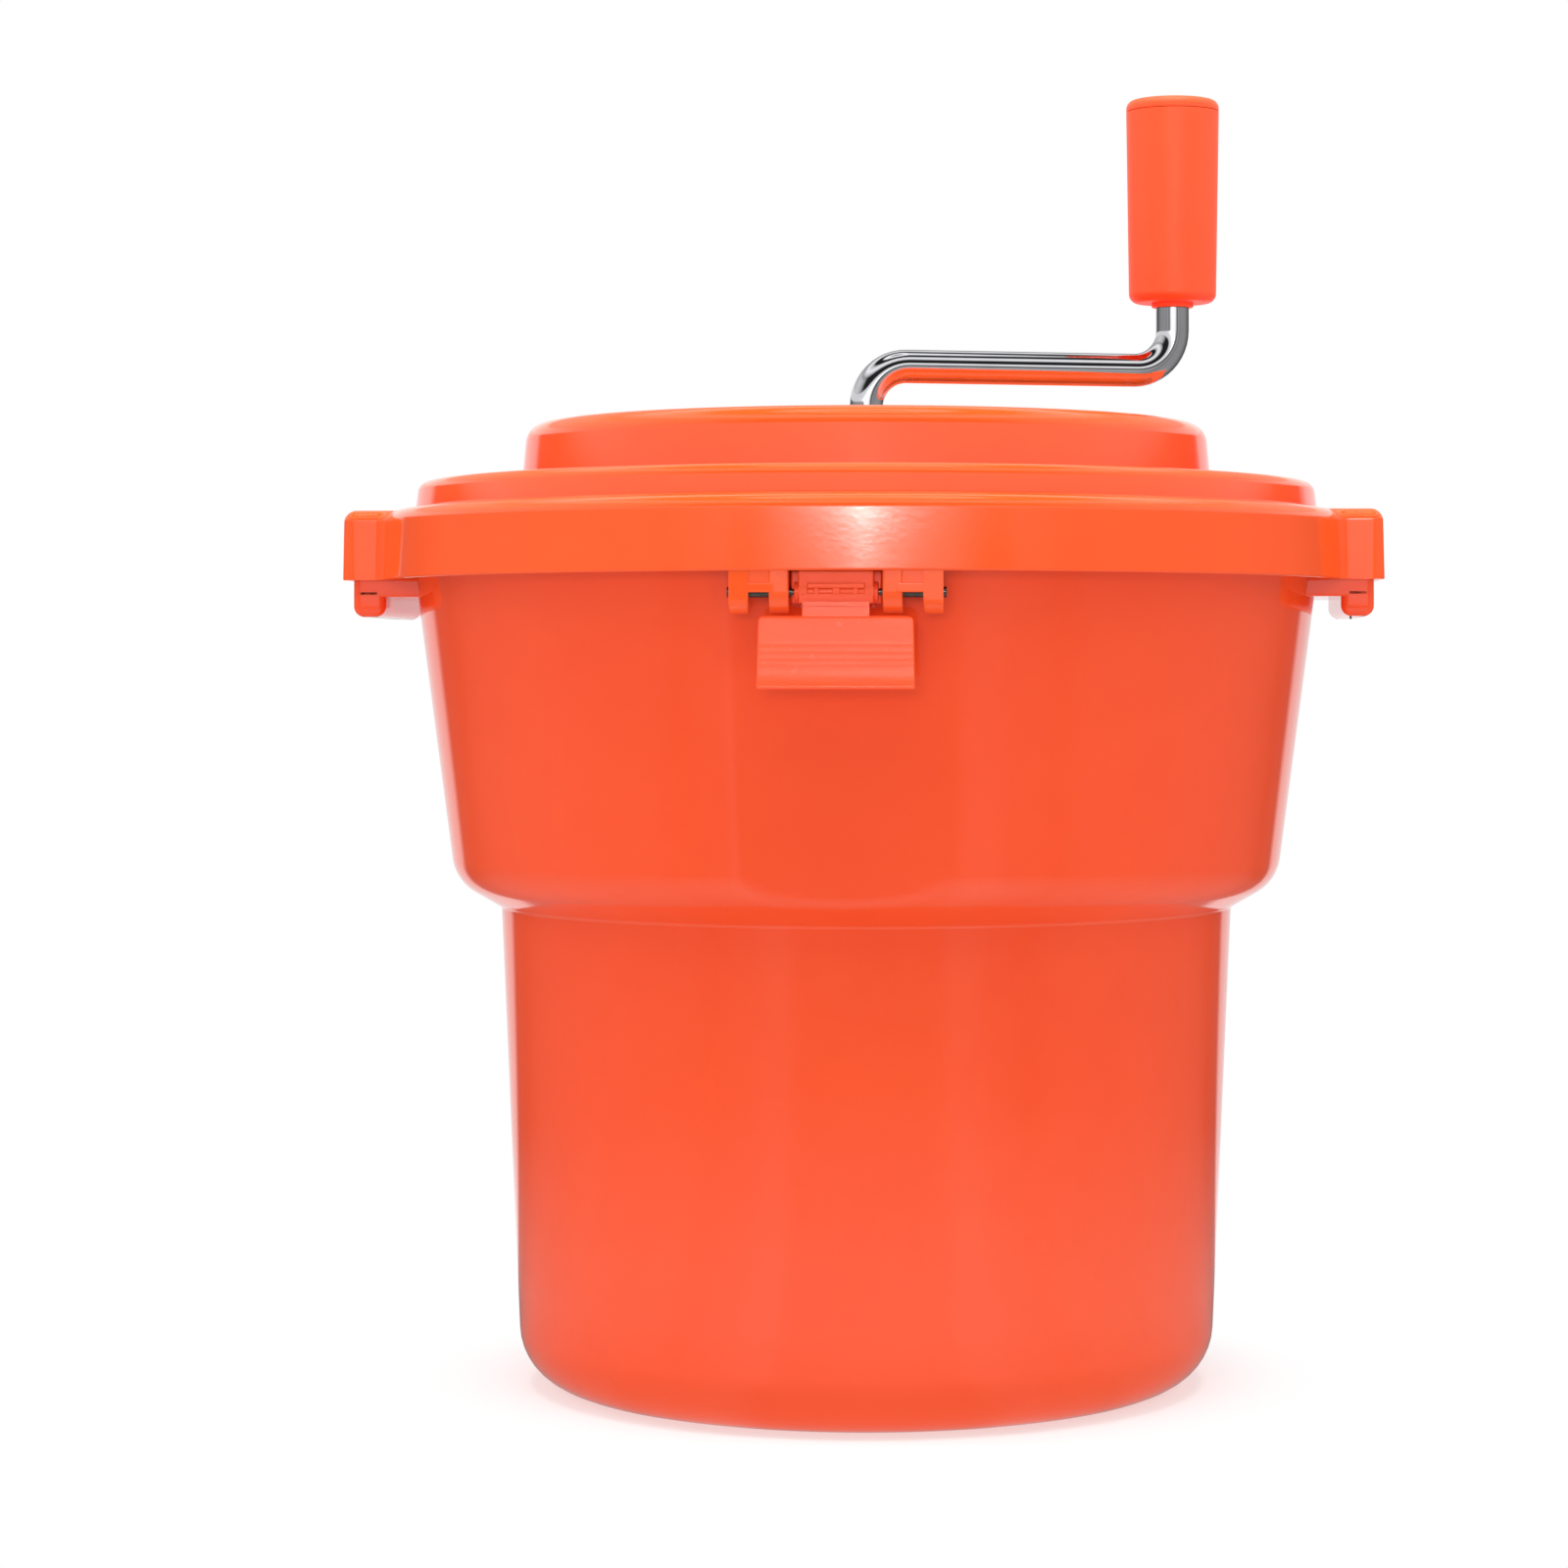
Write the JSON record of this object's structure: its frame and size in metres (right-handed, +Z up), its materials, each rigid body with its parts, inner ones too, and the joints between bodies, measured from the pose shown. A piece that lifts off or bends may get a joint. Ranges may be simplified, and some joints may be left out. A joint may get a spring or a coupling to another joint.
{
  "type": "salad spinner",
  "caption": "Large manual salad spinner: stepped bucket, slotted basket and tiered lid with side ears, drop latches and a bent crank that drives the basket through planetary gears.",
  "frame": {"origin": "centre of the tub's base, on the surface that it stands on", "axes": "+Z up along the axis of the tub, lid and crank shaft; -Y out of the front latch; +X out of the right ear; the crank arm rests 16 degrees from +X, towards the rear"},
  "size_m": [0.421, 0.3978, 0.5331],
  "materials": {
    "orange_plastic": "glossy moulded",
    "white_plastic": "satin moulded",
    "nylon": "matt moulded",
    "stainless": "fine turned",
    "chromed_steel": "polished",
    "bronze": "turned"
  },
  "bodies": {
    "tub": {"outer_tub": "orange_plastic", "pivot_post": "stainless", "pivot_washer": "stainless", "pivot_screw": "stainless"},
    "turntable": {"pivot_bush": "nylon"},
    "inner_basket": {"basket": "white_plastic", "basket_hub": "nylon"},
    "lid": {"lid_shell": "orange_plastic", "shaft_bush": "nylon", "gear_plate": "nylon", "gear_plate_screws": "stainless", "planet_pins": "stainless", "output_bush": "bronze", "front_latch_pin": "stainless", "rear_latch_pin": "stainless"},
    "crank": {"crank_rod": "chromed_steel", "ring_gear": "nylon", "crank_cross_pin": "stainless", "shaft_retainer": "stainless", "grip_clip": "stainless"},
    "grip": {"grip_sleeve": "orange_plastic", "grip_bush": "orange_plastic", "grip_cap": "orange_plastic"},
    "planet_1": {"planet_gear_1": "nylon"},
    "planet_2": {"planet_gear_2": "nylon"},
    "planet_3": {"planet_gear_3": "nylon"},
    "drive": {"sun_gear": "nylon", "output_shaft": "stainless", "drive_disc": "white_plastic", "drive_washer": "stainless", "drive_screw": "stainless"},
    "latch_front": {"front_latch": "orange_plastic"},
    "latch_rear": {"rear_latch": "orange_plastic"}
  },
  "joints": [
    {"name": "lid_lift", "type": "slide", "parent": "tub", "child": "lid", "axis": [0, 0, 1], "range_m": [0, 0.45]},
    {"name": "crank_turn", "type": "hinge", "parent": "lid", "child": "crank", "pos_m": [0, 0, 0.4], "axis": [0, 0, 1], "continuous": true},
    {"name": "grip_spin", "type": "hinge", "parent": "crank", "child": "grip", "pos_m": [0.12727, 0.03649, 0.48], "axis": [0, 0, 1], "continuous": true},
    {"name": "planet_1_spin", "type": "hinge", "parent": "lid", "child": "planet_1", "pos_m": [0.06, 0, 0.3725], "axis": [0, 0, 1], "continuous": true},
    {"name": "planet_2_spin", "type": "hinge", "parent": "lid", "child": "planet_2", "pos_m": [-0.03, 0.05196, 0.3725], "axis": [0, 0, 1], "continuous": true},
    {"name": "planet_3_spin", "type": "hinge", "parent": "lid", "child": "planet_3", "pos_m": [-0.03, -0.05196, 0.3725], "axis": [0, 0, 1], "continuous": true},
    {"name": "drive_spin", "type": "hinge", "parent": "lid", "child": "drive", "pos_m": [0, 0, 0.3625], "axis": [0, 0, 1], "continuous": true},
    {"name": "basket_spin", "type": "hinge", "parent": "tub", "child": "turntable", "pos_m": [0, 0, 0.03], "axis": [0, 0, 1], "continuous": true},
    {"name": "basket_lift", "type": "slide", "parent": "turntable", "child": "inner_basket", "axis": [0, 0, 1], "range_m": [0, 0.3375]},
    {"name": "front_latch_swing", "type": "hinge", "parent": "lid", "child": "latch_front", "pos_m": [0, -0.1888, 0.3215], "axis": [-1, 0, 0], "range_deg": [0, 90]},
    {"name": "rear_latch_swing", "type": "hinge", "parent": "lid", "child": "latch_rear", "pos_m": [0, 0.1888, 0.3215], "axis": [1, 0, 0], "range_deg": [0, 90]}
  ],
  "couplings": [
    {"joint": "planet_1_spin", "follows": "crank_turn", "ratio": 3},
    {"joint": "planet_2_spin", "follows": "crank_turn", "ratio": 3},
    {"joint": "planet_3_spin", "follows": "crank_turn", "ratio": 3},
    {"joint": "drive_spin", "follows": "crank_turn", "ratio": -3},
    {"joint": "basket_spin", "follows": "crank_turn", "ratio": -3},
    {"joint": "basket_lift", "follows": "lid_lift", "ratio": 0.75}
  ]
}
